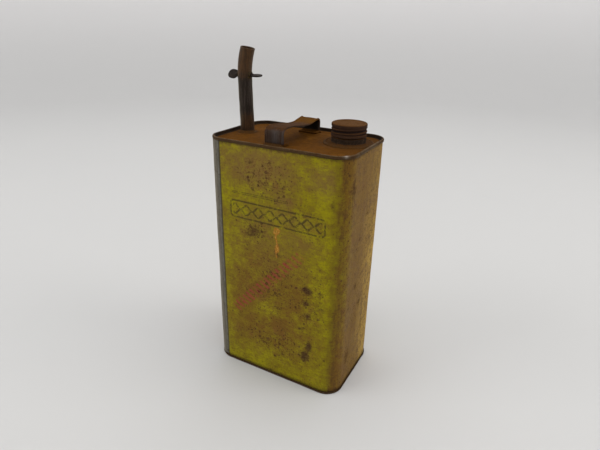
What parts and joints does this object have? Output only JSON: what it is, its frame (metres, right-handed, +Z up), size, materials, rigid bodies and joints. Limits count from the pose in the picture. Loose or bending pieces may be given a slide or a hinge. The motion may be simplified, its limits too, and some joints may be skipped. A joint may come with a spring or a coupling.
{
  "type": "oblong metal oil can",
  "caption": "Rusted oblong tin oil can with a strap handle, a screw-capped filler and a bent pouring spout with a small butterfly tap.",
  "frame": {"origin": "on the floor, under the middle of the whole object's bounding box; the can itself stands 3 mm to +X of it because the tap's ear reaches past its left side", "axes": "+Z up, +X along the wide front face from the spout towards the filler cap, -Y out of the front face, +Y towards the back"},
  "size_m": [0.172, 0.1086, 0.3706],
  "materials": {
    "painted_tinplate": "worn, rust-stained litho paint",
    "bare_tinplate": "dull tin",
    "rusted_tinplate": "even brown rust",
    "seam_compound": "matte",
    "rusted_neck": "dark rust",
    "solder": "dull, oxidised",
    "rusted_cap": "brown rust over worn tin",
    "cork_wad": "matte",
    "wad_foil": "satin",
    "spout_steel": "dark brown patina",
    "tap_brass": "dull, dirty",
    "spindle_steel": "dark, oily",
    "strap_steel": "dark brown rust"
  },
  "bodies": {
    "can": {"body_shell": "painted_tinplate", "side_seam": "bare_tinplate", "top_panel": "rusted_tinplate", "bottom_panel": "rusted_tinplate", "top_seam_gasket": "seam_compound", "bottom_seam_gasket": "seam_compound", "filler_neck": "rusted_neck", "filler_neck_solder": "solder", "spout_tube": "spout_steel", "spout_solder": "solder", "tap_bush_left": "tap_brass", "tap_bush_right": "tap_brass", "handle_strap": "strap_steel", "handle_front_solder": "solder", "handle_rear_solder": "solder"},
    "cap_liner": {"cap_wad": "cork_wad", "cap_wad_foil": "wad_foil"},
    "cap": {"filler_cap": "rusted_cap"},
    "tap": {"tap_spindle": "spindle_steel", "tap_disc": "tap_brass", "tap_disc_rivet_1": "tap_brass", "tap_disc_rivet_2": "tap_brass"}
  },
  "joints": [
    {"name": "cap_lift", "type": "slide", "parent": "can", "child": "cap_liner", "axis": [0, 0, 1], "range_m": [0, 0.016]},
    {"name": "cap_turn", "type": "hinge", "parent": "cap_liner", "child": "cap", "pos_m": [0.05502, 0.0145, 0.29], "axis": [0, 0, 1], "range_deg": [0, 1440]},
    {"name": "tap_turn", "type": "hinge", "parent": "can", "child": "tap", "pos_m": [-0.06432, 0, 0.3406], "axis": [1, 0, 0], "range_deg": [0, 90]}
  ],
  "couplings": [
    {"joint": "cap_lift", "follows": "cap_turn", "m_per_rad": 0.00063662}
  ]
}
